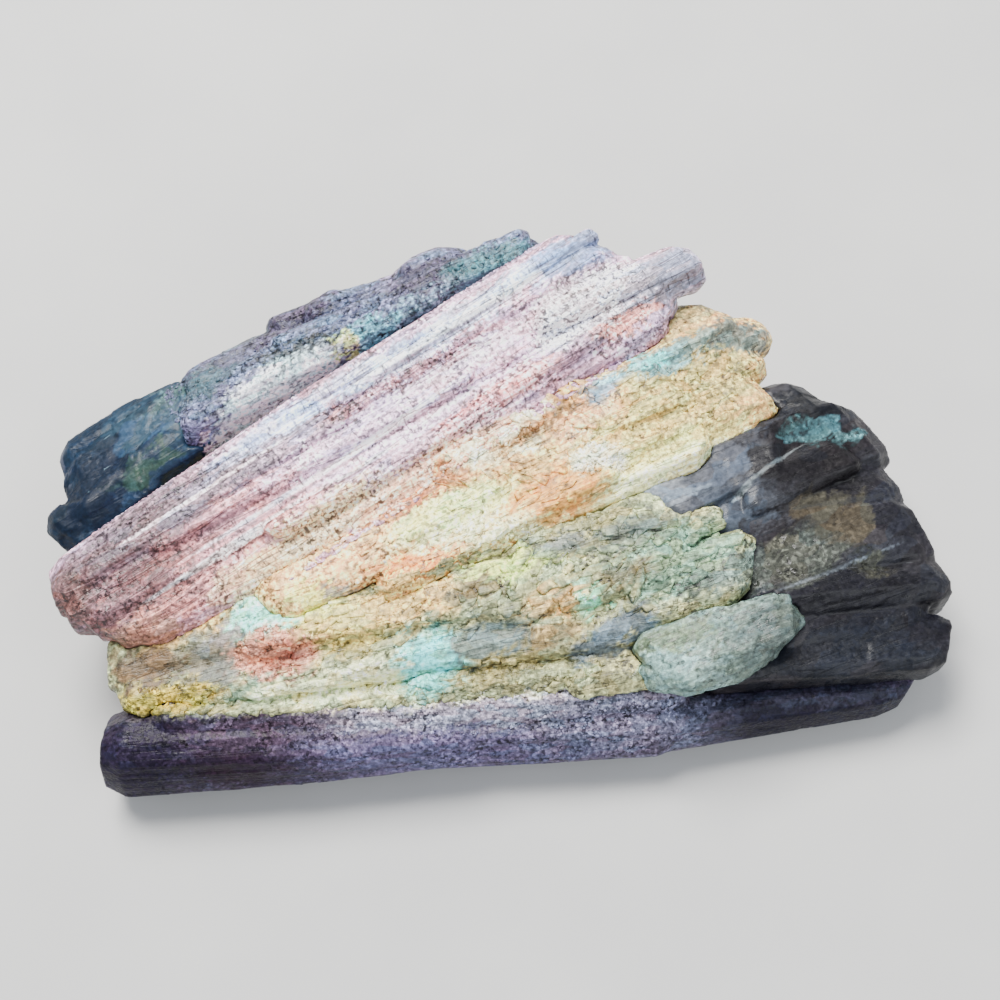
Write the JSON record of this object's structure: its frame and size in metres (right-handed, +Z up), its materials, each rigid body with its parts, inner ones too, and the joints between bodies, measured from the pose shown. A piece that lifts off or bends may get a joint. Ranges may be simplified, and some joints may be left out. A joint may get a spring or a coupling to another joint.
{
  "type": "rubellite crystal cluster",
  "caption": "Low hand specimen of pink tourmaline prisms grown with quartz, feldspar, albite and lepidolite, lying on a flat broken base.",
  "frame": {"origin": "middle of the underside's box, on the surface that it rests on", "axes": "+X along the length towards the smoky quartz end, +Y towards the back where the prisms point, +Z up"},
  "size_m": [0.1198, 0.0744, 0.0301],
  "materials": {
    "rubellite": "milky pink-lavender tourmaline, striated, satin",
    "rubellite_dark": "mauve-purple tourmaline, frosted on top, satin",
    "feldspar": "peach to yellow-tan feldspar, granular, satin",
    "smoky_quartz": "smoky brown to grey-lavender quartz, glassy",
    "albite": "pale green-white albite, waxy",
    "blue_quartz": "dark teal-blue quartz, glassy",
    "lepidolite": "mauve-grey lepidolite mica, granular, dull sparkle",
    "quartz": "green-grey granular quartz, matt"
  },
  "bodies": {
    "root": {"rubellite_sheaf": "rubellite", "rubellite_bar": "rubellite_dark", "feldspar_columns": "feldspar", "smoky_quartz": "smoky_quartz", "albite_blade": "albite", "blue_quartz": "blue_quartz", "lepidolite_crust": "lepidolite", "quartz_matrix": "quartz"}
  },
  "joints": []
}
